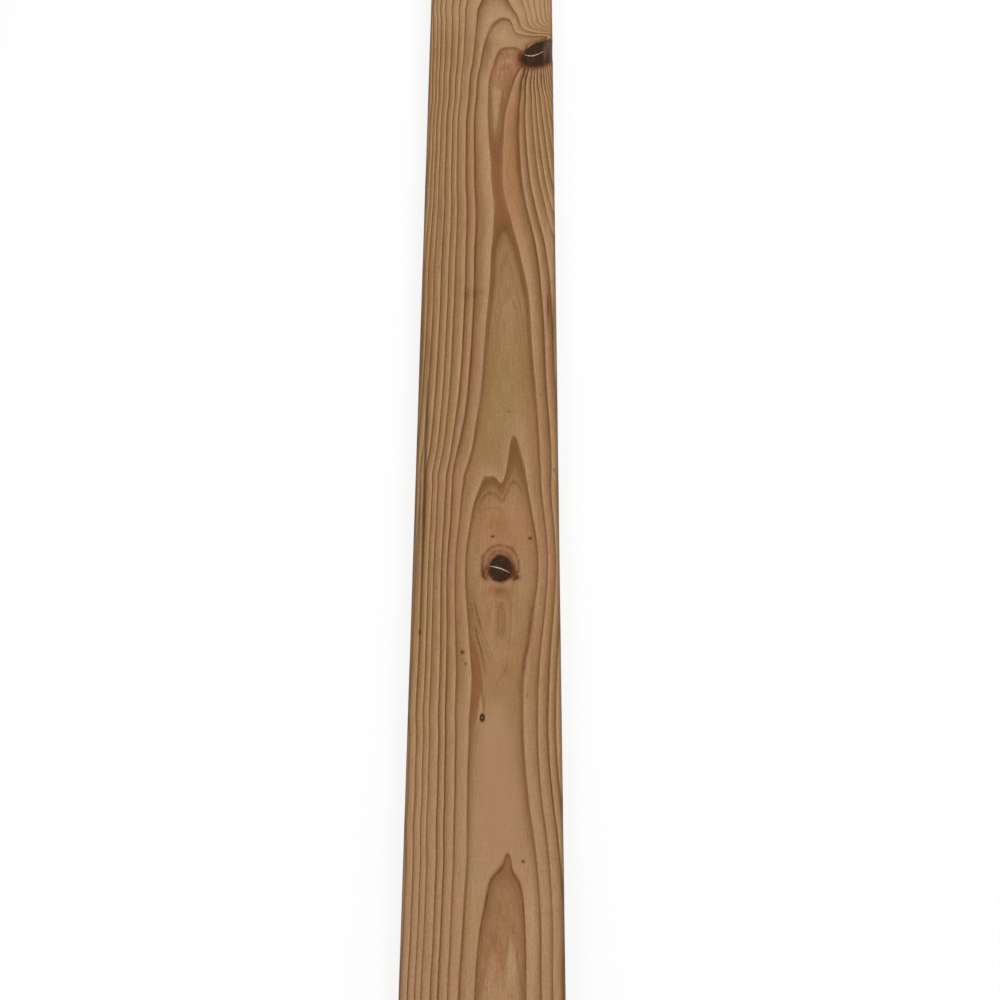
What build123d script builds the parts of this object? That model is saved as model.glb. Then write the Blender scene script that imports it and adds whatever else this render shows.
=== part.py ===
from build123d import *
import os

# Planed softwood plank: one length of solid timber, lying flat on its underside.
# The origin is at the middle of the underside. X runs across the board, Y along
# the grain and Z up, out of the face. Lengths are in millimetres.

# Stock size of the planed board
plank_length = 1800
plank_width = 145
plank_thickness = 28

# The planer rounds the four long edges. The cross-cut ends stay square and sharp.
arris_radius = 3

os.makedirs("parts", exist_ok=True)

# The blank is the rectangular section run out along the grain, both ways from the
# middle of the length. Its long edges are then eased.
with BuildPart() as plank:
    with BuildSketch(Plane.XZ) as section:
        Rectangle(plank_width, plank_thickness, align=(Align.CENTER, Align.MIN))
    extrude(amount=plank_length / 2, both=True)
    long_edges = plank.edges().filter_by(Axis.Y)
    fillet(long_edges, radius=arris_radius)

plank.part.label = "plank"
export_step(plank.part, "parts/plank.step")
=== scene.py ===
import math

import bpy
import numpy as np
from mathutils import Matrix, Vector


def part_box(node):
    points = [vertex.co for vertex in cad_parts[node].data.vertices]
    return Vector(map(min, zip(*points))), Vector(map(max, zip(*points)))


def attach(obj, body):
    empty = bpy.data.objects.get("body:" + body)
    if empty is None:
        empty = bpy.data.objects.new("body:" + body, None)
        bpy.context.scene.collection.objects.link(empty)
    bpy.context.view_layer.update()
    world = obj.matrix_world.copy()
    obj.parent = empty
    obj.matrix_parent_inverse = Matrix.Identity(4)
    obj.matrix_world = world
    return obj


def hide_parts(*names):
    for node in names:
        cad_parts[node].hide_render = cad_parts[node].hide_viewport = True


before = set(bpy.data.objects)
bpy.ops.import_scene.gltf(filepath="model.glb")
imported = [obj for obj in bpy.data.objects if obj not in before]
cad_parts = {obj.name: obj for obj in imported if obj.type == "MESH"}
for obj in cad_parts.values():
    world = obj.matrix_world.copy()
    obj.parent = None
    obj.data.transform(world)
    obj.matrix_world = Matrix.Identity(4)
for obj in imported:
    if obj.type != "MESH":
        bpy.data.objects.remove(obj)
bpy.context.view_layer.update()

# Stock sizes, from the frame
MM = 0.001
plank_low, plank_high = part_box("plank")
half_width = (plank_high.x - plank_low.x) / 2
half_length = (plank_high.y - plank_low.y) / 2
face_height = plank_high.z
thickness = plank_high.z - plank_low.z
arris_radius = 3 * MM

# Photo readings, in pixels: each long edge at the photo's top row and bottom row
PHOTO_SIZE = 1000
FOCAL_PIXELS = 1000
SENSOR_MM = 36
LEFT_EDGE_X = (431.0, 398.0)
RIGHT_EDGE_X = (552.1, 565.9)
MIDDLE_ROW_ALONG = -88 * MM

# Grain, read on the shown face, in millimetres: across from the middle line to the
# right, along from the middle to the far end, depth down from the face. The trunk's heart
# lies under the face
HEART_REACH = 4460

# The heart line's place across, at places along
HEART_LINE = [
    (-900, 13), (-690, 15), (-528, 15.3), (-488, 16), (-448, 15.5), (-408, 13.8),
    (-368, 11.7), (-328, 11), (-288, 11.8), (-258, 12.8), (-228, 13.7), (-188, 14.8),
    (-148, 15.4), (-88, 15.8), (-68, 16.5), (-48, 18), (-8, 19.8), (52, 20.3),
    (112, 20.8), (152, 20.3), (192, 18), (232, 14.8), (262, 11.5), (312, 7.7),
    (362, 6.8), (412, 9), (452, 8.5), (515, 6.8), (542, 4.5), (660, 6), (900, 12),
]
# How far the heart is below the face, as a square that the rings are counted on
HEART_FALL = [
    (-900, -1800), (-690, -1400), (-538, -1116), (-508, -1062), (-468, -959),
    (-428, -790), (-388, -655), (-348, -570), (-308, -520), (-268, -545), (-228, -620),
    (-188, -700), (-148, -740), (-108, -650), (-88, -560), (-68, -390), (-48, -200),
    (-28, -60), (-8, 60), (52, 380), (112, 520), (152, 650), (192, 740), (232, 900),
    (262, 960), (312, 950), (362, 930), (412, 1050), (452, 1480), (515, 1860),
    (542, 2250), (612, 2900), (712, 2500), (900, 1500),
]
# How quickly the rings follow each other on the two sides of the heart line
CROWD_LEFT = [
    (-900, 1), (-408, 1), (-368, 1.05), (-328, 1.05), (-288, 1), (-88, 1), (-68, 0.95),
    (-48, 0.9), (152, 0.9), (192, 0.95), (232, 1.04), (262, 1.16), (312, 1.3), (362, 1.36),
    (412, 1.31), (452, 1.25), (515, 1.22), (542, 1.2), (900, 1.1),
]
CROWD_RIGHT = [
    (-900, 0.97), (-528, 0.96), (-468, 0.9), (-418, 0.875), (-378, 0.92), (-328, 0.985),
    (-288, 1), (-88, 1), (-68, 0.95), (-48, 0.9), (152, 0.9), (192, 0.9), (232, 1),
    (262, 1.1), (312, 1.3), (342, 1.42), (372, 1.6), (402, 1.95), (462, 2.4), (502, 1.9),
    (532, 1.5), (612, 1.2), (900, 1.1),
]
# Where the grain swells round the knots and the cathedral tips:
# across, along, spread across, spread along, height, and for some the lean across and along
SWELLS = [
    (14, -158, 38, 40, -820, 0.03, -0.4), (14, -158, 18, 40, 1020, 0.03, -0.4), (12.6, -268, 22, 22, 220),
    (6.5, 385, 5, 28, -280), (9, -43, 9, 25, 500), (15, -66, 3.5, 14, 280),
    (-11, -76, 6, 10, 90), (23, -26, 12, 30, 200), (27, -26, 5, 20, -115),
    (1, -454, 8, 22, 105), (10, -433, 6, 8, 110), (29, -430, 4, 8, 60),
    (36, -490, 9, 50, -80), (20, -412, 16, 18, 230), (22.6, -428, 2.4, 7, -170),
    (34, 437, 24, 30, -900, -0.59, -0.3), (40, 457, 13, 16, -1900, -0.59, -0.3),
    (85, 486, 24, 11, -10000, -0.59, -0.3),
    (8, 464, 12, 14, -150), (23, 505, 8, 9, -330), (42, 520, 14, 14, -330),
    (58, 480, 14, 4, -600), (33, 365, 5, 50, -60), (-44, -75, 16, 20, -220),
    (-32, -40, 5.5, 28, -260), (7, 516, 6, 7, 90), (-32, -245, 8, 45, -140),
    (43, -416, 7, 26, -70), (22, -36, 4, 12, -50), (50, 45, 6, 45, -100),
    (42, 142, 6, 22, -65),
]
# Growth rings from the heart out: outer edge, how late the dark wood starts, how dark
# it gets, how rosy the ring is
RINGS = [
    (-3700, 3, 0.8, 0.2), (-3050, 3, 0.8, 0.4), (-2350, 3.5, 0.9, 0.3),
    (-1650, 3, 0.85, 0.4), (-640, 7.0, 1, 0.6), (180, 3.6, 0.9, 0.3),
    (1000, 4.8, 0.95, 0.3), (1860, 3.1, 1, 0.35), (2580, 2.2, 0.9, 0.5),
    (3630, 4.2, 0.85, 0.1), (4390, 3.4, 0.9, 0.2), (5390, 3.6, 0.98, 0.05),
    (6440, 3.8, 0.8, 0.3), (7340, 3.2, 0.92, 0.1), (8100, 2.6, 0.75, 0.3),
    (8900, 2.4, 0.9, 0.2), (9700, 2.2, 0.8, 0.2), (10600, 2.4, 0.9, 0.2),
    (11600, 2.2, 0.9, 0.2),
]
RING_START = -4500
RING_EDGE_SOFTNESS = 0.1
LATE_GAIN = 1.4
# The rings whose insides fill with brown at the heart's tip and at the neck
HEART_EDGE = 180
NECK_EDGE = 1000

# Knots: across, along, half across, half along, turn in degrees, lean across, lean along
ROUND_KNOT = (14.3, -158.5, 11, 13.5, 0, 0.03, -0.4)
EDGE_KNOT = (59, 462, 26, 16, 32, -0.59, -0.3)
KNOT_COLLAR = (14, -156, 19, 22, 0, 0.03, -0.4)
COLLAR_FOOT = -170.5
# Grey places in the edge knot
KNOT_GREYS = [
    (63, 461, 1.2, 9, 0.4), (68, 478, 2.2, 5, 0.45), (70, 455, 1.6, 6, 0.3),
]
# Where the grain swirls beside the edge knot
SWIRL = (20, 446, 14, 24, 1)
# Cracks in the knots: middle across and along, slope, bend, half reach
ROUND_CRACK = (13.8, -158.3, -0.335, -0.0135, 10.5)
EDGE_CRACK = (50, 459.7, 0.208, 0.029, 12.5)
CRACK_HALF_WIDTH = 0.4
CRACK_WAVER_WIDTH = 0.5
KNOT_RAGGEDNESS = 0.12
KNOT_RINGS = 30
# The edge knot's paler side: its beginning and full place across, middle along, spread
KNOT_PALE_SIDE = (60, 65, 468, 8)

# Marks on the face: across, along, half across, half along, strength
DARK_DOTS = [
    (6.2, -126, 1.3, 0.9, 0.9), (43.4, -127.7, 1.2, 1.1, 0.85), (35.8, -429, 0.9, 1.1, 0.8),
    (-21.8, -241, 1.2, 1.4, 0.9), (-18.4, -252, 0.9, 1.1, 0.6),
    (-63.2, -222, 1, 1.6, 0.8), (21.8, 8, 1.5, 0.9, 0.45), (40.4, -282, 0.8, 1.4, 0.35),
    (-54, 178, 0.9, 1.2, 0.3), (68, -56, 0.9, 1.6, 0.35),
]
RED_STREAKS = [
    (63.8, 128, 0.9, 13, 0.85), (-1.7, -162, 1.9, 5, 0.75), (27.6, -163.5, 2.2, 5.5, 1),
    (1, -165, 2.4, 4, 0.6), (30.5, -167.5, 2.6, 2.2, 0.85), (-3, -166, 2.2, 1.8, 0.5),
    (26, -166, 2.5, 3, 0.8),
    (-23.5, 144, 2.8, 4.2, 0.42), (-15, 146, 1.8, 5, 0.5), (-8, 147, 2.6, 2, 0.28),
    (33.5, 457, 2.2, 6, 0.45), (58.5, 428, 1.2, 6, 0.6), (39.2, 432, 1.4, 5, 0.6),
    (-0.7, -290, 0.6, 6, 0.5),
]
GREY_STREAKS = [
    (-62.8, -88, 1.2, 78, 1), (-66.8, -112, 0.8, 50, 0.45), (69, 106, 1.3, 28, 0.65),
    (-62.6, 0, 1.3, 40, 0.8), (-70.8, -110, 1, 90, 0.55), (-69.5, 60, 1.2, 60, 0.55),
    (-53.5, 235, 1.5, 25, 0.25), (-62, 70, 1.6, 18, 0.4),
]
ROSY_PATCHES = [
    (-46, -100, 5, 60, 0.6), (-33, -130, 4, 60, 0.6), (-30, -60, 4, 30, 0.5),
    (14, -373, 17, 42, 0.8), (57, -150, 5, 60, 0.5), (54, -430, 8, 50, 0.5),
    (-26, -530, 7, 60, 0.6), (-54, -540, 6, 60, 0.4), (54, -560, 5, 60, 0.6),
    (18, 445, 13, 22, 0.75), (52, -10, 3.5, 50, 0.5), (-25, -20, 3, 26, 0.5),
    (-54, 240, 5, 50, 0.5), (-22, 250, 4, 70, 0.4), (-10, 55, 5, 40, 0.45),
    (16, -185, 20, 30, 0.3), (14, -176, 16, 5, 0.6), (-20, 500, 5, 40, 0.5), (15, 530, 18, 10, 0.5),
]
ORANGE_PATCHES = [
    (23, 312, 8, 75, 0.85), (-24, 320, 4, 60, 0.5), (-15, -58, 8, 12, 0.4),
    (14, -120, 26, 18, 0.7), (55, 20, 4, 60, 0.3), (6, -206, 20, 26, 0.45), (16, -245, 16, 20, 0.35),
    (17, -500, 17, 60, 0.8), (14, -113, 16, 13, 0.9), (30, -130, 8, 14, 0.7),
]
OLIVE_PATCHES = [
    (-9, -440, 4, 60, 0.8), (-8, -340, 4, 40, 0.5), (27, -300, 6, 30, 0.5), (5, -30, 12, 30, 0.5),
    (35, -200, 6, 25, 0.5), (-2, -200, 6, 20, 0.4), (18, 25, 17, 55, 0.75), (28, -188, 6, 14, 0.7),
]
BROWN_PATCHES = [
    (14, -181, 8, 4, 0.9), (14, -115, 9, 14, 0.24), (14, -150, 24, 18, 0.3),
    (31, 456, 5, 10, 0.4), (11, -275, 3, 9, 0.2), (19, -256, 4, 5, 0.3),
    (3, -206, 2, 9, 0.3), (43, -216, 3, 24, 0.35), (30, -232, 6, 3, 0.25), (-12, -310, 2, 16, 0.35),
    (12, -524, 2, 6, 0.35), (20, -470, 2, 18, 0.25), (-62, 162, 2.5, 30, 0.4),
]
PALE_PATCHES = [
    (14, 492, 18, 12, 1), (-65, -60, 0.7, 60, 0.7), (-68.7, -60, 0.6, 70, 0.6),
    (50, 528, 15, 18, 0.6), (66, 225, 3, 40, 0.5), (68, -90, 3, 150, 0.3),
    (9, -540, 6, 20, 0.33), (26, -506, 3.4, 16, 1), (44, -490, 4, 40, 0.5),
    (-10, -430, 5, 40, 0.35), (-33, 420, 3, 60, 0.4), (-10, 395, 5, 50, 0.5),
    (-4.2, -290, 1, 7, 0.9), (-5.3, -297, 1.2, 5, 0.6), (22, 130, 7, 22, 0.35),
    (40, -170, 6, 30, 0.25), (-14, -140, 4, 25, 0.3),
]
# Brown that fills the heart's tip, and the narrow neck above it
HEART_FILL = [
    (27, -28, 7, 16, 0.95), (25, -48, 7, 9, 0.6), (5, -69, 9, 5, 0.6), (14, -74, 4, 8, 0.55),
]
NECK_FILL = [
    (20, 413, 4, 18, 0.7), (30, 446, 8, 8, 0.3), (14, 383, 3.6, 26, 0.85), (-0.5, 378, 2.2, 32, 0.6),
    (24, 428, 4, 10, 0.6), (5, 346, 8, 10, 0.8),
]
# Lines that fan out below the round knot, between two lines: across at places along
FAN_LEFT = [
    (-290, -1.5), (-263, -3), (-253, -4.3), (-238, -8), (-218, -12.5), (-198, -15), (-173, -16),
]
FAN_RIGHT = [
    (-290, 24), (-260, 15), (-248, 9), (-238, 4), (-228, 0), (-218, -3.5), (-208, -6.5), (-198, -9),
    (-185, -11.5), (-173, -12.5),
]
FAN_COUNT = 3
# The brown wedge beside them, from the left of the board to this line
WEDGE_EDGE = [
    (-318, -10.5), (-305, -8), (-293, -4), (-283, -1.8), (-273, -2.2), (-263, -3), (-253, -4.3),
    (-243, -6.5), (-233, -9.5), (-223, -12),
]
# The column below the round knot, and the dark oval in it
COLUMN = (8, 25, -234, -178)
OVAL = (15.3, -210, 4, 18)
# The ring that the lower cathedral ends at, and the line in it below which the wood is light
CATHEDRAL_EDGE = -640
CATHEDRAL_LIGHT = [
    (-8, -560), (0, -535), (3, -520), (6, -506), (9, -502), (12, -505), (15, -514), (18, -519),
    (20.5, -514), (23, -500), (25.5, -494), (28, -500), (30.5, -516), (33, -532), (38, -560),
]
# Dark strokes that stand alone: half width, strength, across at places along
STROKES = [
    (0.8, 0.5, [(-226, -1), (-220, -4), (-212, -6), (-204, -8), (-196, -10), (-188, -11)]),
    (0.7, 0.35, [(-213, -12.5), (-203, -13), (-196, -13.5), (-186, -14.2)]),
    (0.8, 0.5, [
        (-268, 0.5), (-260, 0), (-254, -1), (-246, -3), (-240, -4), (-233, -6), (-225, -8), (-208, -12),
    ]),
    (0.8, 0.25, [(-208, 2), (-198, 5), (-186, 8)]),
    (0.8, 0.3, [(-231, 11), (-220, 11.6), (-205, 12), (-196, 11.6), (-184, 10.5)]),
    (0.7, 0.3, [(-228, 24), (-205, 24.8), (-184, 24.5)]),
    (1.7, 0.8, [
        (-268, 36), (-253, 36.7), (-243, 38.3), (-231, 41.3), (-218, 42.7), (-203, 44.8), (-188, 46.3),
    ]),
    (0.8, 0.3, [(-276, 8), (-268, 13), (-258, 19), (-250, 23)]),
    (1.2, 0.4, [(-345, -13.5), (-330, -12.6), (-316, -12), (-300, -11)]),
    (0.7, 0.3, [(-330, -7.5), (-318, -6.5), (-306, -5.5)]),
    (1.8, 0.7, [
        (254, 39), (272, 35.6), (292, 33), (312, 31.3), (332, 31), (352, 31.2), (372, 31.7),
        (392, 32.7), (412, 35), (424, 37),
    ]),
]
# How far a stroke's soft ends reach out and in
STROKE_OUT = 3
STROKE_IN = 14
# The light and dark lines inside the heart's tip: along at places across
ECHO_LIGHT = [
    (-10, -92), (-6, -85), (-2, -81), (0, -78), (3, -75.5), (6, -75.5), (9, -78), (12, -82),
    (15, -84.5), (18, -79), (21, -73), (24, -65.5), (26, -60), (28, -57.5), (30.5, -61), (33, -68),
    (36, -78), (40, -92),
]
ECHO_DARK = [
    (-8, -97), (-2, -84), (2, -81), (6, -81.5), (9, -82.5), (12, -86), (15, -89), (17, -88),
    (20, -82), (22, -77), (24, -72), (26, -69.5), (29, -69), (31, -71), (33, -74), (36, -82),
    (40, -96),
]
ECHO_LOW = [(-6, -100), (1, -97), (5, -96), (9, -96.5), (12, -97.5), (15, -99), (22, -104)]
ECHO_WIDTHS = (1.9, 1.8, 1.1)
# The pale triangle over the neck: tip across and along, slope of each side, top
TRIANGLE = (5, 338, -0.055, 0.115, 414)
TRIANGLE_TILT = 0.4
# The smooth stretch below the round knot
CALM_STRETCH = (14, -350, 18, 75, 0.85)
# The neck's brown: its foot's middle and slope, its top and strength
NECK_FOOT = (13.5, 229)
NECK_ARCH = 1.2
NECK_TOP = 345
NECK_STRENGTH = 0.9
# Places of sharper lines, and of lines that run together: across, along, spreads, strength
SHARP_MIDDLE = (18, 160, 34, 66, 6.5)
SHARP_HEART = (14, -225, 45, 70, 2)
UNDER_KNOT = (46, 426, 12, 15, 1)
LEFT_SHARPNESS = 0.9
# Faint lines in the middle: the ring place of one of them, and their spacing
MIDDLE_LINE = 795
MIDDLE_SPACING = 92
# The dark line inside the lower cathedral's edge: how far in, and its width
CATHEDRAL_LINE_IN = 40
CATHEDRAL_LINE_WIDTH = 34
# Stretches: where each begins, is full, is still full and ends
FAN_SHARE = (-0.15, 0.1, 0.95, 1.15)
FAN_SPAN = (-265, -236, -186, -170)
ECHO_SPAN = (-12, -4, 34, 41)
WEDGE_SPAN = (-322, -298, -240, -222)
CATHEDRAL_SPAN = (-700, -600, -414, -402)
NECK_BAND_SPAN = (-30, 50, 236, 262)
MIDDLE_SPAN = (-30, 60, 208, 226)
MIDDLE_RINGS = (480, 560, 835, 880)
# Steps: where each begins and is full
LEFT_SIDE = (0, -25)
CATHEDRAL_FOOT = (-660, -560)
NECK_BAND = (785, 870)
TRIANGLE_SIDE = (-1.6, 2.2)
# The band of painted shade on the arrises, across from the middle line
ARRIS_SHADE_BAND = (68.5, 71.5)
# How pale and how rosy the board is along its length
PALENESS = [
    (-900, 0.35), (-540, 0.42), (-340, 0.28), (-240, 0.05), (-160, 0), (470, 0), (540, 0.6), (900, 0.4),
]
ROSINESS = [
    (-900, 0.3), (-540, 0.36), (-340, 0.26), (-250, 0.05), (-160, 0.04), (500, 0.04), (900, 0.15),
]
# The pin knot is a small dark ring with a light middle
PIN_KNOT = (-2.2, -302.5, 2.7, 4.3)
PIN_RING = 0.55
PIN_RING_WIDTH = 0.3

# How deep under the face each kind of mark fades
PATCH_FADE = 60
FILL_FADE = 40
GREY_FADE = 20
WOOD_FADE = 12
COLLAR_FADE = 10
STREAK_FADE = 8
FAN_FADE = 6
DOT_FADE = 5
CRACK_FADE = 4
# The painted shade on the arrises fades from the face and from the underside
ARRIS_SHADE_FADE = 2.2

# Noises: size across, along and in depth, octaves, roughness. The first two run along the
# rings, so their size across is a share of a ring
STREAK = (1 / 6, 150, 1, 2, 0.5)
HAIRLINE = (1 / 17, 60, 1, 2, 0.6)
FIBRE = (1.7, 24, 1.7, 3, 0.75)
CLOUD = (26, 90, 26, 2, 0.5)
HUE = (11, 28, 11, 2, 0.6)
MOTTLE = (5, 14, 5, 3, 0.6)
FLECK = (1.1, 3.2, 1.1, 2, 0.7)
FLAME = (3.2, 12, 3.2, 3, 0.65)
CRUMB = (1.7, 2.4, 3, 3, 0.65)
PORES = (0.7, 0.7, 0.7, 2, 0.5)
WANDER = (16, 130, 16, 1, 0.5)
RAGGED = (5, 5, 9, 2, 0.5)
CRACK_WAVER = (3, 40, 40, 1, 0.5)
WANDER_HEIGHT = 70
# How far slower noises bend the mottle and the flames, across and along
MOTTLE_BEND = (5, 14)
FLAME_BEND = (4.8, 24)

# Colours as seen, in steps of 255
PALE_EARLYWOOD = (176, 141, 104)
TAN_EARLYWOOD = (150, 115, 74)
OLIVE_EARLYWOOD = (146, 115, 70)
ROSY_EARLYWOOD = (164, 119, 92)
ORANGE_EARLYWOOD = (159, 113, 74)
LATEWOOD = (98, 63, 23)
RED_LATEWOOD = (112, 60, 27)
BROWN_WOOD = (134, 88, 53)
OLIVE_BROWN = (126, 90, 52)
RED_MARGIN = (100, 54, 26)
RED_RESIN = (90, 48, 24)
GREY_RESIN = (82, 58, 34)
KNOT_DARK = (35, 19, 7)
KNOT_BROWN = (90, 56, 36)
DOT_BROWN = (78, 50, 12)
KNOT_GREY = (108, 90, 86)
KNOT_PALE_BROWN = (92, 62, 46)
CRACK_PALE = (214, 202, 192)
# Painted shade: grey-brown for the rounded arrises, where they fall away from the light
ARRIS_PAINTED_SHADE = (104, 88, 72)
END_GRAIN = (126, 88, 52)

# How far the floor shows plain white
FLOOR_WHITENESS = 0.8
# Level of the white surroundings, lamp size, each lamp's place and power
FILL_LEVEL = 0.6
LAMP_SIZE = 1.6
LAMPS = {"key_softbox": ((1.2, 0.8, 2), 23), "fill_softbox": ((-1.4, -0.8, 2.2), 14)}

# Relief, in millimetres
GRAIN_RELIEF = 0.06
KNOT_DISH = 0.35
CRACK_DEPTH = 1.2
DOT_DEPTH = 0.1


def seen_colour(steps):
    """The light value of a colour as it is seen on a screen."""
    light = []
    for step in steps:
        share = step / 255
        light.append(share / 12.92 if share <= 0.04045 else ((share + 0.055) / 1.055) ** 2.4)
    return (*light, 1)


class Reading:
    """One output of a node. Sums on it add their Math nodes to its tree."""

    def __init__(self, tree, socket=None):
        self.tree = tree
        self.socket = socket

    def node(self, kind, settings=None, values=None, output=0):
        """Adds any node: its settings first, then the values or links of its sockets."""
        made = self.tree.nodes.new(kind)
        for name, value in (settings or {}).items():
            if name == "stops":
                fill_ramp(made.color_ramp, value)
            elif name == "points":
                fill_curve(made.mapping, *value)
            else:
                setattr(made, name, value)
        for place, value in (values or {}).items():
            if isinstance(value, Reading):
                self.tree.links.new(value.socket, made.inputs[place])
            else:
                made.inputs[place].default_value = value
        return Reading(self.tree, made.outputs[output] if made.outputs else None)

    def part(self, output):
        return Reading(self.tree, self.socket.node.outputs[output])

    def math(self, operation, *others):
        values = dict(enumerate((self, *others)))
        return self.node("ShaderNodeMath", {"operation": operation}, values)

    def vector(self, operation, values, output=0):
        return self.node("ShaderNodeVectorMath", {"operation": operation}, values, output)

    def or_more(self, other):
        return self.math("MAXIMUM", other)

    def turned(self, operation, other):
        return self.node("ShaderNodeMath", {"operation": operation}, {0: other, 1: self})

    def __add__(self, other):
        return self.math("ADD", other)

    def __sub__(self, other):
        return self.math("SUBTRACT", other)

    def __mul__(self, other):
        return self.math("MULTIPLY", other)

    def __truediv__(self, other):
        return self.math("DIVIDE", other)

    def __pow__(self, other):
        return self.math("POWER", other)

    def __rsub__(self, other):
        return self.turned("SUBTRACT", other)

    __radd__ = __add__
    __rmul__ = __mul__


def empty_tree(owner):
    """Turns a material's or a world's nodes on, and clears them."""
    owner.use_nodes = True
    owner.node_tree.nodes.clear()
    return Reading(owner.node_tree)


def placed(name, data):
    """A new object in the scene."""
    made = bpy.data.objects.new(name, data)
    bpy.context.scene.collection.objects.link(made)
    return made


def fill_ramp(ramp, stops):
    """Sets a ramp to plain steps: (place, colour) each."""
    ramp.interpolation = "CONSTANT"
    while len(ramp.elements) < len(stops):
        ramp.elements.new(0.5)
    for element, (place, colour) in zip(ramp.elements, stops):
        element.position = place
        element.color = colour


def fill_curve(mapping, points, handle):
    """Sets a Float Curve to the points, which run from 0 to 1 both ways."""
    mapping.use_clip = False
    curve = mapping.curves[0]
    while len(curve.points) < len(points):
        curve.points.new(0.5, 0.5)
    for point, place in zip(curve.points, points):
        point.location = place
        point.handle_type = handle
    mapping.update()


def follow(value, table, handle="AUTO_CLAMPED"):
    """The table's number at a value, along a smooth line through its points."""
    first, last = table[0][0], table[-1][0]
    numbers = [number for _, number in table]
    low, high = min(numbers), max(numbers)
    run = last - first
    rise = high - low
    points = [((place - first) / run, (number - low) / rise) for place, number in table]
    share = (value - first) / run
    curve = share.node("ShaderNodeFloatCurve", {"points": (points, handle)}, {"Value": share})
    return curve * rise + low


def ease(value, start, end):
    """0 before start and 1 after end, with a smooth step between."""
    return value.node(
        "ShaderNodeMapRange", {"interpolation_type": "SMOOTHSTEP"},
        {"Value": value, "From Min": start, "From Max": end},
    )


def window(value, low, low_full, high_full, high):
    """1 between the two full places, and 0 outside the outer two."""
    return ease(value, low, low_full) * ease(value, high, high_full)


def bell(value):
    return (value * value * -0.5).math("EXPONENT")


def clamp(value):
    return value.or_more(0).math("MINIMUM", 1)


def tint(share, under, over):
    """One colour laid over another by a share. A plain colour is given as seen."""
    values = {0: share, 6: under, 7: over}
    for place in (6, 7):
        if not isinstance(values[place], Reading):
            values[place] = seen_colour(values[place])
    return share.node("ShaderNodeMix", {"data_type": "RGBA", "clamp_factor": True}, values, 2)


def noise_of(across, along, depth, sizes):
    """Soft noise about 0, from -1 to 1, with the sizes of a named noise."""
    wide, long, deep, detail, roughness = sizes
    place = joined(across / wide, along / long, depth / deep)
    noise = place.node(
        "ShaderNodeTexNoise", None,
        {"Vector": place, "Scale": 1, "Detail": detail, "Roughness": roughness},
    )
    return noise * 2 - 1


def place_in_board(position):
    """Across, along and depth in millimetres, from a position in metres."""
    split = position.node("ShaderNodeSeparateXYZ", None, {0: position})
    across = split.part("X") / MM
    along = split.part("Y") / MM
    depth = face_height / MM - split.part("Z") / MM
    return across, along, depth


def joined(across, along, depth=0.0):
    """Places as one vector."""
    return across.node("ShaderNodeCombineXYZ", None, {0: across, 1: along, 2: depth})


def off_middle(place, across, along, wide, long):
    """The way from an oval's middle to a place vector, in shares of the oval."""
    scale = (1 / wide, 1 / long, 0)
    shift = (-across / wide, -along / long, 0)
    return place.vector("MULTIPLY_ADD", {0: place, 1: scale, 2: shift})


def spot(place, across, along, wide, long, height):
    """A soft round spot on a place vector, with its height in the middle."""
    off = off_middle(place, across, along, wide, long)
    square = off.vector("DOT_PRODUCT", {0: off, 1: off}, "Value")
    return square.turned("POWER", math.exp(-0.5)) * height


def reach_from(place, *oval):
    """Distance from an oval's middle on a place vector, as a share of the oval."""
    off = off_middle(place, *oval)
    return off.vector("LENGTH", {0: off}, "Value")


def trunk_place(across, along, depth):
    """How far out in the trunk a place is, on the scale of the rings' edges."""
    off = across - follow(along, HEART_LINE)
    left = follow(along, CROWD_LEFT)
    right = follow(along, CROWD_RIGHT)
    on_right = off.math("GREATER_THAN", 0)
    crowd = left + (right - left) * on_right
    heart_depth = (follow(along, HEART_FALL) + HEART_REACH).math("SQRT")
    down = heart_depth - depth
    out = crowd * off * off + down * down - HEART_REACH
    leaning = {}
    for swell in SWELLS:
        lean = swell[5:] or (0, 0)
        if lean not in leaning:
            leaning[lean] = joined(across - depth * lean[0], along - depth * lean[1])
        out = out + spot(leaning[lean], *swell[:5])
    return out + noise_of(across, along, depth, WANDER) * WANDER_HEIGHT


def ring_growth(out):
    """Ring number, place within the ring from 0 to 1, and the ring's own character."""
    edges = [(RING_START, 0)] + [(ring[0], number + 1) for number, ring in enumerate(RINGS)]
    number = follow(out, edges, "VECTOR")
    index = number.math("FLOOR")
    within = number.math("FRACT")
    count = len(RINGS)
    # A ramp holds numbers up to 1, so the starts are stored in tenths
    scale = 10
    stops = []
    for place, (_, late_start, dark, rosy) in enumerate(RINGS):
        stops.append((place / count, (late_start / scale, dark, rosy, 1)))
    character = number.node("ShaderNodeValToRGB", {"stops": stops}, {0: (index + 0.5) / count})
    split = character.node("ShaderNodeSeparateXYZ", None, {0: character})
    return number, within, split.part("X") * scale, split.part("Y"), split.part("Z")


def latewood(within, start, dark):
    """Dark wood: it gathers towards the ring's outer edge and stops sharply there."""
    edge = ((1 - within) / RING_EDGE_SOFTNESS).math("MINIMUM", 1)
    return (within ** start * LATE_GAIN).math("MINIMUM", 1) * edge * dark


def knot_axes(across, along, depth, knot):
    """Distances across and along from the middle of a leaning knot."""
    place_across, place_along, _, _, _, lean_across, lean_along = knot
    return across - place_across - depth * lean_across, along - place_along - depth * lean_along


def knot_reach(across, along, depth, knot):
    """Distance from a knot's middle, as a share of its ragged outline."""
    _, _, wide, long, turn, _, _ = knot
    side, ahead = knot_axes(across, along, depth, knot)
    turn = math.radians(turn)
    reach_side = (side * math.cos(turn) + ahead * math.sin(turn)) / wide
    reach_ahead = (ahead * math.cos(turn) - side * math.sin(turn)) / long
    ragged = noise_of(across, along, depth, RAGGED) * KNOT_RAGGEDNESS
    return (reach_side * reach_side + reach_ahead * reach_ahead).math("SQRT") + ragged


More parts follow.
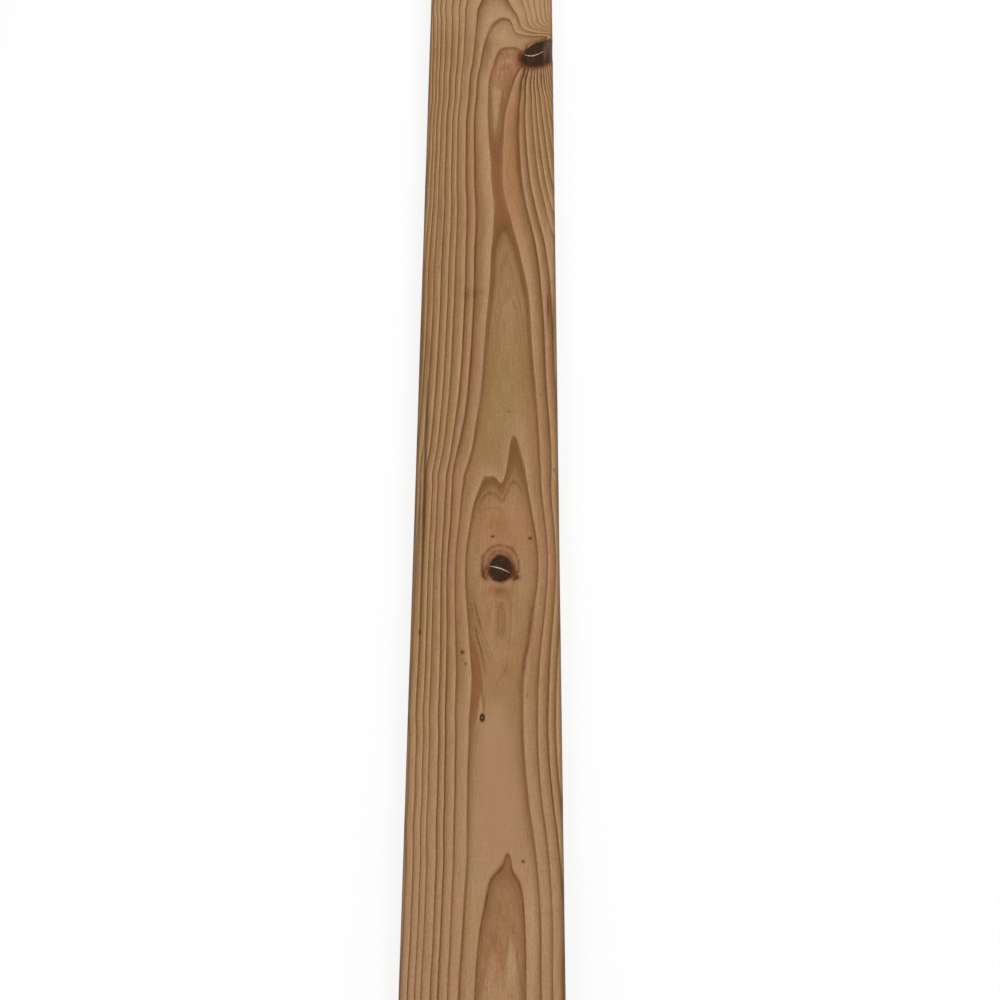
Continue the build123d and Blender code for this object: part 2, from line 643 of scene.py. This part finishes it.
def knot_crack(across, along, depth, crack):
    """A thin crack that runs across a knot."""
    middle_across, middle_along, slope, bend, reach = crack
    side = across - middle_across
    line = side * slope + side * side * bend
    waver = noise_of(side, along, depth, CRACK_WAVER) * CRACK_WAVER_WIDTH
    taper = 1 - (side / reach) * (side / reach)
    wide = taper.or_more(0.02) * CRACK_HALF_WIDTH
    shown = ease(taper, 0, 0.2) * bell(depth / CRACK_FADE)
    return bell((along - middle_along - line - waver) / wide) * shown


def both_cracks(*place):
    return knot_crack(*place, ROUND_CRACK).or_more(knot_crack(*place, EDGE_CRACK))


def marks(face, depth, table, fade_depth):
    """Soft spots of a table together, which fade under the face."""
    total = None
    for mark in table:
        shown = spot(face, *mark)
        total = shown if total is None else total.or_more(shown)
    return total * bell(depth / fade_depth)


class Grain:
    """What all layers of the wood read at one place in the board."""

    def __init__(self, position):
        place = place_in_board(position)
        self.place = place
        self.across, self.along, self.depth = place
        self.face = joined(self.across, self.along)
        self.out = trunk_place(*place)
        number, self.within, begins, self.dark, self.rosy = ring_growth(self.out)
        # Dark wood that keeps closer to its ring's edge
        begins = begins + spot(self.face, *SHARP_MIDDLE) * self.inside(NECK_EDGE, 10, -10)
        begins = begins + spot(self.face, *SHARP_HEART) * self.inside(HEART_EDGE, 20, -10)
        self.on_left = ease(self.across, *LEFT_SIDE)
        self.begins = begins + self.on_left * LEFT_SHARPNESS
        self.round_reach = knot_reach(*place, ROUND_KNOT)
        self.edge_reach = knot_reach(*place, EDGE_KNOT)
        # Streaks along the rings, fine fibres along the board, and slow changes of hue
        ring = number.math("FLOOR")
        self.streak = noise_of(number, self.along, ring, STREAK)
        self.hairline = noise_of(number, self.along, ring, HAIRLINE)
        self.fibre = noise_of(*place, FIBRE)
        self.cloud = noise_of(*place, CLOUD)
        self.hue = noise_of(*place, HUE)
        self.fleck = noise_of(*place, FLECK)
        self.crumb = noise_of(*place, CRUMB)
        self.pores = noise_of(*place, PORES)
        self.mottle = self.bent(MOTTLE, self.cloud, self.hue, MOTTLE_BEND)
        self.flame = self.bent(FLAME, self.hue, self.cloud, FLAME_BEND)
        self.lively = 1 - spot(self.face, *CALM_STRETCH)

    def bent(self, sizes, across_by, along_by, bend):
        """Noise whose places are moved by slower noises."""
        bend_across, bend_along = bend
        across = self.across + across_by * bend_across
        return noise_of(across, self.along + along_by * bend_along, self.depth, sizes)

    def marks(self, table, fade_depth):
        return marks(self.face, self.depth, table, fade_depth)

    def fade(self, reach):
        """1 on the face, and less under it."""
        return bell(self.depth / reach)

    def inside(self, edge, none, full):
        """1 inside a ring's edge, with a soft step near it."""
        return ease(self.out, edge + none, edge + full)


def fan_lines(at):
    """Fine lines that fan out below the round knot."""
    left = follow(at.along, FAN_LEFT)
    right = follow(at.along, FAN_RIGHT)
    share = (at.across - left) / (right - left)
    wave = (share * (2 * math.pi * FAN_COUNT)).math("COSINE") * 0.5 + 0.5
    shown = window(share, *FAN_SHARE) * window(at.along, *FAN_SPAN)
    return wave * shown * at.fade(FAN_FADE)


def drawn_strokes(at):
    """The strokes of the table together, with soft ends."""
    total = None
    for half_width_mm, strength, table in STROKES:
        first, last = table[0][0], table[-1][0]
        ends = window(at.along, first - STROKE_OUT, first + STROKE_IN, last - STROKE_IN, last + STROKE_OUT)
        stroke = bell((at.across - follow(at.along, table)) / half_width_mm) * ends * strength
        total = stroke if total is None else total.or_more(stroke)
    return total * at.fade(STREAK_FADE)


def heart_echo(at):
    """Lines that repeat the outline of the heart's tip, and the wood above them."""
    across = at.across
    shown = at.fade(COLLAR_FADE) * window(across, *ECHO_SPAN)
    light_width, dark_width, low_width = ECHO_WIDTHS
    over_light = at.along - follow(across, ECHO_LIGHT)
    light = bell(over_light / light_width) * shown
    dark = bell((at.along - follow(across, ECHO_DARK)) / dark_width) * shown
    low = bell((at.along - follow(across, ECHO_LOW)) / low_width) * shown * ease(across, 20, 12)
    above = ease(over_light, 0.5, 3.5) * shown
    return light, dark.or_more(low * 0.7), above


def round_knot_wake(at):
    """Brown wood below the round knot: a column with an oval in it, and a wedge."""
    left, right, foot, top = COLUMN
    column = window(at.across, left - 1, left + 1.5, right - 1.5, right + 1)
    column = column * window(at.along, foot - 12, foot + 4, top - 10, top)
    column = column * (0.3 + at.mottle * 0.2)
    reach = reach_from(at.face, *OVAL) + at.mottle * 0.25
    oval = ease(reach, 1.3, 0.75) * 0.6 + bell((reach - 1) / 0.16) * 0.15
    wedge = ease(at.across - follow(at.along, WEDGE_EDGE), 0.9, -1)
    wedge = wedge * window(at.along, *WEDGE_SPAN)
    return column.or_more(oval) * at.fade(WOOD_FADE), wedge * at.fade(WOOD_FADE)


def lower_cathedral(at):
    """Brown wood inside the lower cathedral, down to a wavy line."""
    below = follow(at.across, CATHEDRAL_LIGHT) - at.along + at.flame * 14
    brown = 0.36 - ease(below, -7, 9) * 0.28 + bell((below + 7) / 8) * 0.22 + at.flame * 0.6
    shown = at.inside(CATHEDRAL_EDGE, 10, -30) * ease(at.along, *CATHEDRAL_FOOT)
    return clamp(brown) * shown * at.fade(WOOD_FADE)


def pale_triangle(at):
    """The pale triangle over the neck, with its tip down."""
    tip_across, tip_along, left, right, top = TRIANGLE
    over = at.along - tip_along + at.flame * 6
    from_left = at.across - tip_across - over * left
    from_right = tip_across + over * right - at.across
    sides = ease(from_left, *TRIANGLE_SIDE) * ease(from_right, *TRIANGLE_SIDE)
    height = at.along + at.across * TRIANGLE_TILT + at.flame * 8
    return sides * ease(height, top + 7, top - 3) * at.fade(WOOD_FADE)


def neck_fill(at):
    """Brown that fills the narrow neck, from an arch at its foot."""
    foot_across, foot_along = NECK_FOOT
    rise = at.along + (at.across - foot_across).math("ABSOLUTE") * NECK_ARCH - foot_along
    fill = ease(rise, -2, 12) * ease(at.along, NECK_TOP + 14, NECK_TOP - 12)
    fill = fill * NECK_STRENGTH * at.fade(GREY_FADE)
    return fill.or_more(at.marks(NECK_FILL, FILL_FADE)) * at.inside(NECK_EDGE, 10, -30)


def soft_wood(at, triangle):
    """The light wood of each ring, with its patches, and how pale it is."""
    hue = at.hue
    wood = tint(ease(at.within, 0.0, 0.5), PALE_EARLYWOOD, TAN_EARLYWOOD)
    wood = tint(hue * -0.9, wood, OLIVE_EARLYWOOD)
    pink = at.marks(ROSY_PATCHES, PATCH_FADE) * (0.8 + hue * 0.6)
    blush = at.rosy * (0.4 + at.cloud) + pink + hue * 0.45 + follow(at.along, ROSINESS)
    wood = tint(blush, wood, ROSY_EARLYWOOD)
    wood = tint(at.marks(OLIVE_PATCHES, PATCH_FADE), wood, OLIVE_EARLYWOOD)
    wood = tint(at.marks(ORANGE_PATCHES, PATCH_FADE), wood, ORANGE_EARLYWOOD)
    pale = at.marks(PALE_PATCHES, PATCH_FADE)
    pale = pale.or_more(triangle * (0.62 + at.flame * 0.5))
    wood = tint(pale + follow(at.along, PALENESS), wood, PALE_EARLYWOOD)
    return wood, pale


def dark_wood(at, pale, echo_dark):
    """The dark wood of the rings and of the lines between them, and its colour."""
    out, along, streak, mottle = at.out, at.along, at.streak, at.mottle
    under_knot = spot(at.face, *UNDER_KNOT)
    late = latewood(at.within, at.begins, at.dark) * (0.92 + streak * 0.35) * (1 - pale * 0.4)
    late = late * (1 + under_knot * 1.2 + at.on_left * 0.2)
    cathedral = bell((out - CATHEDRAL_EDGE + CATHEDRAL_LINE_IN) / CATHEDRAL_LINE_WIDTH)
    cathedral = cathedral * window(along, *CATHEDRAL_SPAN)
    late = late.or_more(cathedral * (0.95 + streak * 0.4 + mottle * 0.4))
    late = late.or_more(drawn_strokes(at) * (1 + mottle * 0.6))
    neck_band = ease(out, *NECK_BAND) * at.inside(NECK_EDGE, 10, -40) * window(along, *NECK_BAND_SPAN)
    late = late.or_more(neck_band * (0.66 + streak * 0.3))
    middle_wave = ((out - MIDDLE_LINE) * (2 * math.pi / MIDDLE_SPACING)).math("COSINE") * 0.5 + 0.5
    middle_wave = middle_wave * window(along, *MIDDLE_SPAN) * window(out, *MIDDLE_RINGS)
    faint = echo_dark * at.inside(HEART_EDGE, 10, -60) * (0.36 + mottle * 0.4)
    faint = faint + middle_wave * (0.18 + mottle * 0.2)
    faint = faint + fan_lines(at) * (0.26 + mottle * 0.3)
    fine = (streak * 0.07 + at.hairline * 0.12) * at.lively
    late = clamp(late + faint + fine)
    colour = tint(at.rosy * 0.7 + at.hue - 0.05, LATEWOOD, RED_LATEWOOD)
    return late, tint(under_knot * 0.8, colour, RED_RESIN)


def brown_wood(at, wood, late, late_colour, pale, triangle, echo):
    """Brown wood: free patches, and fills that end at their ring's edge."""
    echo_light, echo_above = echo
    flame = at.flame
    in_heart = at.inside(HEART_EDGE, 10, -25)
    heart = at.marks(HEART_FILL, FILL_FADE).or_more(echo_above * 0.5)
    heart = heart * (1 - echo_light * 0.75) * in_heart
    wake, wedge = round_knot_wake(at)
    wedge = wedge * in_heart * (1 - pale)
    wood = tint(wake * (1 + at.hairline * 0.6), wood, OLIVE_BROWN)
    swirl = spot(at.face, *SWIRL) * at.inside(NECK_EDGE, -40, -200) * at.fade(STREAK_FADE)
    wood = tint(swirl * ease(flame, 0.02, -0.3) * 0.8, wood, PALE_EARLYWOOD)
    neck = neck_fill(at) * (1 - triangle)
    brown = at.marks(BROWN_PATCHES, FILL_FADE)
    for fill in (wedge * 0.76, lower_cathedral(at), heart, neck, swirl * ease(flame, 0.0, 0.22) * 0.6):
        brown = brown.or_more(fill)
    uneven = 1 + at.hairline * 0.4 + at.mottle * 0.7
    wood = tint(brown * (1 - late * 0.7) * uneven, wood, BROWN_WOOD)
    wood = tint(heart * 0.4, wood, late_colour)
    return tint(wedge * 0.14, wood, late_colour)


def resin(at, wood):
    """The red collar over the round knot, red margins and streaks, and grey streaks."""
    reach = knot_reach(*at.place, KNOT_COLLAR)
    collar = ease(at.along, COLLAR_FOOT - 1.5, COLLAR_FOOT + 1) * at.fade(COLLAR_FADE)
    wood = tint(ease(reach, 1.04, 0.9) * collar * 0.28, wood, BROWN_WOOD)
    lines = bell((reach - 0.97) / 0.05) * 0.6 + bell((reach - 0.69) / 0.05) * 0.5
    lines = lines * collar * (0.85 + at.mottle * 1.2)
    side, ahead = knot_axes(*at.place, EDGE_KNOT)
    halo = ease(at.edge_reach, 1.5, 1.03) * ease(ahead + side * 0.3, 5, -6) * at.fade(COLLAR_FADE)
    wood = tint(halo * (0.72 + at.flame * 0.6), wood, RED_MARGIN)
    rim = bell((at.round_reach - 1.04) / 0.09).or_more(bell((at.edge_reach - 1.05) / 0.07))
    red = at.marks(RED_STREAKS, STREAK_FADE)
    wood = tint(clamp(lines + red + rim * 0.6), wood, RED_RESIN)
    grey = clamp(at.marks(GREY_STREAKS, GREY_FADE) * (1 + at.hairline * 0.4))
    return tint(grey, wood, GREY_RESIN)


def knots(at, wood, knot):
    """The two large knots with their cracks."""
    reach = at.round_reach.math("MINIMUM", at.edge_reach)
    rings = (reach * KNOT_RINGS + at.hue * 5).math("SINE")
    tone = clamp(0.25 + rings * 0.12 + at.crumb * 0.75 + at.hue * 0.2)
    inside = tint(tone, KNOT_DARK, KNOT_BROWN)
    pale_start, pale_full, pale_along, pale_reach = KNOT_PALE_SIDE
    pale_side = ease(at.across, pale_start, pale_full) * bell((at.along - pale_along) / pale_reach)
    inside = tint(pale_side * (0.75 + at.crumb), inside, KNOT_PALE_BROWN)
    grey = at.marks(KNOT_GREYS, WOOD_FADE) * (1 + at.crumb)
    inside = tint(grey, inside, KNOT_GREY)
    wood = tint(knot, wood, inside)
    return tint(both_cracks(*at.place), wood, CRACK_PALE)


def pin_marks(at, wood):
    """Dark dots, and the pin knot with its light middle."""
    wood = tint(at.marks(DARK_DOTS, DOT_FADE) * 1.3, wood, DOT_BROWN)
    reach = reach_from(at.face, *PIN_KNOT)
    pin = bell((reach - PIN_RING) / PIN_RING_WIDTH) * at.fade(DOT_FADE)
    return tint(pin, wood, KNOT_DARK)


def arris_shade_and_end_grain(at, wood, end):
    """Painted shade on the rounded arrises, top and bottom, and darker end grain."""
    beside = at.across.math("ABSOLUTE")
    under = thickness / MM - at.depth
    # Painted shade on the rounded arrises, top and bottom: grey-brown laid where the eased edges turn from
    # the light
    arris_shade = ease(beside, *ARRIS_SHADE_BAND) * bell(at.depth.math("MINIMUM", under) / ARRIS_SHADE_FADE)
    wood = tint(arris_shade * (0.6 + at.fibre * 0.6), wood, ARRIS_PAINTED_SHADE)
    return tint(end * (0.5 + at.pores * 0.35), wood, END_GRAIN)


def softwood():
    """The planed wood, from one field of rings through the board."""
    material = bpy.data.materials.new("planed_softwood")
    start = empty_tree(material)
    at = Grain(start.node("ShaderNodeTexCoord", None, None, "Object"))
    facing = start.node("ShaderNodeTexCoord", None, None, "Normal")
    facing_along = facing.node("ShaderNodeSeparateXYZ", None, {0: facing}).part("Y")
    end = ease(facing_along.math("ABSOLUTE"), 0.6, 0.9)
    round_knot = ease(at.round_reach, 1.06, 0.94)
    knot = round_knot.or_more(ease(at.edge_reach, 1.05, 0.95))

    triangle = pale_triangle(at)
    echo_light, echo_dark, echo_above = heart_echo(at)
    wood, pale = soft_wood(at, triangle)
    late, late_colour = dark_wood(at, pale, echo_dark)
    wood = tint(late, wood, late_colour)
    wood = brown_wood(at, wood, late, late_colour, pale, triangle, (echo_light, echo_above))
    wood = resin(at, wood)
    wood = knots(at, wood, knot)
    wood = pin_marks(at, wood)
    wood = arris_shade_and_end_grain(at, wood, end)

    fine = (at.fibre * 0.32 + at.hairline * 0.06 + at.fleck * 0.3) * at.lively
    tone = 1 + fine + at.cloud * 0.04 + at.fleck * 0.05
    toned = wood.vector("SCALE", {0: wood, 3: tone})
    rough = 0.66 - late * 0.14 - knot * 0.12 + at.fibre * 0.05 + end * 0.2
    bump = start.node(
        "ShaderNodeBump", None,
        {"Strength": 0.1, "Distance": 0.0004, "Height": at.fibre * 0.12},
    )
    shader = start.node(
        "ShaderNodeBsdfPrincipled", None,
        {"Base Color": toned, "Roughness": rough, "Normal": bump, "Specular IOR Level": 0.08},
    )
    shader.node("ShaderNodeOutputMaterial", None, {"Surface": shader})
    return material


# The plank's mesh: rows along the board lie closer where the grain turns quickly.
# Each stretch: its end along the board, or none for the board's end, and the row spacing
ROW_STRETCHES = [
    (-460, 8), (-415, 3), (-312, 6), (-292, 1.6), (-180, 5), (-140, 0.8), (-4, 3),
    (400, 7), (436, 3), (492, 0.8), (545, 3), (None, 8),
]
TOP_SPACING = 1.0
UNDER_SPACING = 3.5
SIDE_SPACING = 2.8
ARRIS_STEPS = 4


def row_places():
    """Places of the mesh rows along the board, in metres."""
    places = [-half_length]
    for end, spacing in ROW_STRETCHES:
        end = half_length if end is None else end * MM
        steps = max(1, round((end - places[-1]) / (spacing * MM)))
        start = places[-1]
        places += [start + (end - start) * (step + 1) / steps for step in range(steps)]
    return np.array(places)


def on_arris(corner, turned=0):
    """A point on one of the section's rounded arrises."""
    middle_x, middle_z, start = corner
    angle = math.radians(start - turned)
    return middle_x + arris_radius * math.cos(angle), middle_z + arris_radius * math.sin(angle)


def section_outline():
    """Points round the section, from the foot of the left top arris, and band ends."""
    flat = half_width - arris_radius
    low = plank_low.z + arris_radius
    high = plank_high.z - arris_radius
    corners = [(-flat, high, 180), (flat, high, 90), (flat, low, 0), (-flat, low, -90)]
    runs = [2 * flat, high - low, 2 * flat, high - low]
    spacings = [TOP_SPACING, SIDE_SPACING, UNDER_SPACING, SIDE_SPACING]
    points = []
    bands = []
    for number, corner in enumerate(corners):
        points += [on_arris(corner, 90 * step / ARRIS_STEPS) for step in range(ARRIS_STEPS + 1)]
        bands.append(len(points) - 1)
        start_x, start_z = points[-1]
        end_x, end_z = on_arris(corners[(number + 1) % 4])
        steps = round(runs[number] / (spacings[number] * MM))
        for step in range(1, steps):
            share = step / steps
            points.append((start_x + (end_x - start_x) * share, start_z + (end_z - start_z) * share))
    return np.array(points), bands


def bake_layout(rows, outline, bands):
    """A flat layout of the faces for baking, with most of its room for the top face."""
    count = len(outline)
    closed = np.vstack([outline, outline[:1]])
    girth = np.concatenate([[0], np.cumsum(np.hypot(*np.diff(closed, axis=0).T))])
    top_end = bands[1]
    side_end = bands[2] - ARRIS_STEPS
    under_end = bands[3]
    # First and last point round the section, pieces along, height in the layout
    strips = [
        (0, top_end, 3, 0.212), (top_end, side_end, 1, 0.03),
        (side_end, under_end, 2, 0.1), (under_end, count, 1, 0.03),
    ]
    gap = 0.005
    layout = np.zeros((len(rows) - 1, count, 4, 2))
    level = gap
    cuts_of = {1: [], 2: [0.0], 3: [-0.3, 0.3]}
    for first, last, pieces, tall in strips:
        cuts = [0] + [int(np.argmin(abs(rows - cut))) for cut in cuts_of[pieces]] + [len(rows) - 1]
        height = (girth - girth[first]) / (girth[last] - girth[first])
        for start, end in zip(cuts[:-1], cuts[1:]):
            run = gap + (1 - 2 * gap) * (rows - rows[start]) / (rows[end] - rows[start])
            columns = np.arange(first, last)
            for corner, (ahead, round_by) in enumerate([(0, 0), (0, 1), (1, 1), (1, 0)]):
                layout[start:end, first:last, corner, 0] = run[start + ahead:end + ahead, None]
                up = level + tall * height[columns + round_by]
                layout[start:end, first:last, corner, 1] = up[None]
            level += tall + gap
    ends = []
    tall = 0.06
    wide = 0.48
    for start in (gap, gap + wide + gap):
        x = (outline[:, 0] + half_width) / (2 * half_width)
        z = (outline[:, 1] - plank_low.z) / thickness
        ends.append(np.stack([start + wide * x, level + tall * z], 1))
    return layout, ends


def plank_blank():
    """The bare plank as a fine mesh: rounded section, sharp cross-cut ends."""
    rows = row_places()
    outline, bands = section_outline()
    count = len(outline)
    points = np.zeros((len(rows), count, 3))
    points[:, :, 0] = outline[None, :, 0]
    points[:, :, 1] = rows[:, None]
    points[:, :, 2] = outline[None, :, 1]
    row, column = np.meshgrid(np.arange(len(rows) - 1), np.arange(count), indexing="ij")
    beside = (column + 1) % count
    near = row * count
    far = near + count
    quads = np.stack([near + column, near + beside, far + beside, far + column], -1).reshape(-1, 4)
    last_row = (len(rows) - 1) * count
    faces = quads.tolist()
    faces.append(list(range(count))[::-1])
    faces.append([last_row + place for place in range(count)])
    mesh = bpy.data.meshes.new("timber_plank")
    mesh.from_pydata(points.reshape(-1, 3).tolist(), [], faces)
    layout, (near_end, far_end) = bake_layout(rows, outline, bands)
    places = np.concatenate([layout.reshape(-1, 2), near_end[::-1], far_end])
    layer = mesh.uv_layers.new(name="OFBake")
    layer.uv.foreach_set("vector", places.astype(np.float32).ravel())
    smooth = np.ones(len(faces), bool)
    smooth[-2:] = False
    mesh.polygons.foreach_set("use_smooth", smooth)
    ends = np.zeros(len(mesh.edges) * 2, int)
    mesh.edges.foreach_get("vertices", ends)
    ends = ends.reshape(-1, 2)
    sharp = (ends < count).all(1) | (ends >= last_row).all(1)
    mesh.attributes.new("sharp_edge", "BOOLEAN", "EDGE").data.foreach_set("value", sharp)
    mesh.update()
    return placed("timber_plank", mesh)


def grain_relief(finish):
    """A tree that lets the soft wood, the knots and their cracks down from the face."""
    tree = bpy.data.node_groups.new("grain_relief", "GeometryNodeTree")
    tree.interface.new_socket("Blank", in_out="INPUT", socket_type="NodeSocketGeometry")
    sizes = {"Grain relief": GRAIN_RELIEF, "Knot dish": KNOT_DISH, "Crack depth": CRACK_DEPTH}
    for name in sizes:
        tree.interface.new_socket(name, in_out="INPUT", socket_type="NodeSocketFloat")
    tree.interface.new_socket("Plank", in_out="OUTPUT", socket_type="NodeSocketGeometry")
    start = Reading(tree)
    blank = start.node("NodeGroupInput", None, None, "Blank")
    position = start.node("GeometryNodeInputPosition")
    place = place_in_board(position)
    across, along, depth = place
    _, within, begins, dark, _ = ring_growth(trunk_place(*place))
    late = latewood(within, begins, dark)
    round_reach = knot_reach(*place, ROUND_KNOT)
    edge_reach = knot_reach(*place, EDGE_KNOT)
    knot = ease(round_reach.math("MINIMUM", edge_reach), 1.08, 0.8)
    crack = both_cracks(*place)
    dots = marks(joined(across, along), depth, DARK_DOTS, DOT_FADE)
    sunk = (1 - late) * (1 - knot) * blank.part("Grain relief")
    sunk = sunk + knot * blank.part("Knot dish") + crack * blank.part("Crack depth") + dots * DOT_DEPTH
    normal = start.node("GeometryNodeInputNormal")
    flat = normal.vector("MULTIPLY", {0: normal, 1: (1, 0, 1)})
    flat = flat.vector("NORMALIZE", {0: flat})
    offset = flat.vector("SCALE", {0: flat, 3: sunk * -MM})
    moved = blank.node("GeometryNodeSetPosition", None, {"Geometry": blank, "Offset": offset})
    whole = moved.node("GeometryNodeRealizeInstances", None, {"Geometry": moved})
    clad = whole.node("GeometryNodeSetMaterial", None, {"Geometry": whole, "Material": finish})
    clad.node("NodeGroupOutput", None, {"Plank": clad})
    return tree, sizes


def timber_plank():
    """The plank as one finished mesh."""
    finish = softwood()
    blank = plank_blank()
    tree, sizes = grain_relief(finish)
    modifier = blank.modifiers.new("grain_relief", "NODES")
    modifier.node_group = tree
    for item in tree.interface.items_tree:
        if item.name in sizes:
            modifier[item.identifier] = float(sizes[item.name])
    graph = bpy.context.evaluated_depsgraph_get()
    mesh = bpy.data.meshes.new_from_object(blank.evaluated_get(graph), depsgraph=graph)
    blank.modifiers.remove(modifier)
    blank.data = mesh
    mesh.name = "timber_plank"
    return blank


def seen_share(start):
    """1 where the camera sees a thing, also in a reflection or through glass."""
    seen = start.node("ShaderNodeLightPath", None, None, "Is Camera Ray")
    return (seen + seen.part("Is Glossy Ray") + seen.part("Is Transmission Ray")).math("MINIMUM", 1)


def pale_floor():
    """A plain white floor under the plank."""
    material = bpy.data.materials.new("pale_floor")
    start = empty_tree(material)
    lit = start.node("ShaderNodeBsdfDiffuse", None, {"Color": (1, 1, 1, 1)})
    white = start.node("ShaderNodeEmission", None, {"Color": (1, 1, 1, 1), "Strength": 1.0})
    shown = seen_share(start) * FLOOR_WHITENESS
    shader = lit.node("ShaderNodeMixShader", None, {0: shown, 1: lit, 2: white})
    shader.node("ShaderNodeOutputMaterial", None, {"Surface": shader})
    reach = 6
    corners = [(-reach, -reach, 0), (reach, -reach, 0), (reach, reach, 0), (-reach, reach, 0)]
    mesh = bpy.data.meshes.new("floor")
    mesh.from_pydata(corners, [], [(0, 1, 2, 3)])
    mesh.materials.append(material)
    floor = placed("floor", mesh)


def soft_light():
    """White surroundings and two broad soft lamps, at a plain level."""
    world = bpy.data.worlds.new("studio")
    bpy.context.scene.world = world
    start = empty_tree(world)
    strength = FILL_LEVEL + (1 - FILL_LEVEL) * seen_share(start)
    light = start.node("ShaderNodeBackground", None, {"Color": (1, 1, 1, 1), "Strength": strength})
    light.node("ShaderNodeOutputWorld", None, {"Surface": light})
    for name, (place, power) in LAMPS.items():
        lamp = bpy.data.lights.new(name, "AREA")
        lamp.shape = "DISK"
        lamp.size = LAMP_SIZE
        lamp.energy = power
        holder = placed(name, lamp)
        holder.location = place
        holder.rotation_euler = (-Vector(place)).to_track_quat("-Z", "Y").to_euler()


def photo_camera():
    """Sets the camera where the plank's long edges fall on the photo's two lines."""
    middle = PHOTO_SIZE / 2
    left_top, left_bottom = LEFT_EDGE_X
    right_top, right_bottom = RIGHT_EDGE_X
    top_width = right_top - left_top
    meet = top_width / (top_width - (right_bottom - left_bottom))
    meet_x = left_top + (left_bottom - left_top) * meet
    away = Vector((meet_x - middle, PHOTO_SIZE * meet - middle, FOCAL_PIXELS)).normalized()
    across = Vector((away.z, 0, -away.x)).normalized()
    up = across.cross(away)
    left = ((left_top + left_bottom) / 2 - middle) / FOCAL_PIXELS
    right = ((right_top + right_bottom) / 2 - middle) / FOCAL_PIXELS
    width = 2 * half_width
    left_far = width * (across.x - across.z * right) / (right - left)
    right_far = left_far + width * across.z
    face_middle = (Vector((left, 0, 1)) * left_far + Vector((right, 0, 1)) * right_far) / 2
    place = Vector((-face_middle.dot(across), -face_middle.dot(away), -face_middle.dot(up)))
    place += Vector((0, MIDDLE_ROW_ALONG, face_height))
    right_axis = Vector((across.x, away.x, up.x))
    up_axis = -Vector((across.y, away.y, up.y))
    back_axis = -Vector((across.z, away.z, up.z))
    lens = bpy.data.cameras.new("photo_camera")
    lens.sensor_width = SENSOR_MM
    lens.lens = SENSOR_MM * FOCAL_PIXELS / PHOTO_SIZE
    camera = placed("photo_camera", lens)
    turn = Matrix((right_axis, up_axis, back_axis)).transposed()
    camera.matrix_world = Matrix.Translation(place) @ turn.to_4x4()
    bpy.context.scene.camera = camera


photo_camera()
soft_light()
pale_floor()
plank = timber_plank()
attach(plank, "root")
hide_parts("plank")
bpy.context.scene.view_settings.view_transform = "Standard"
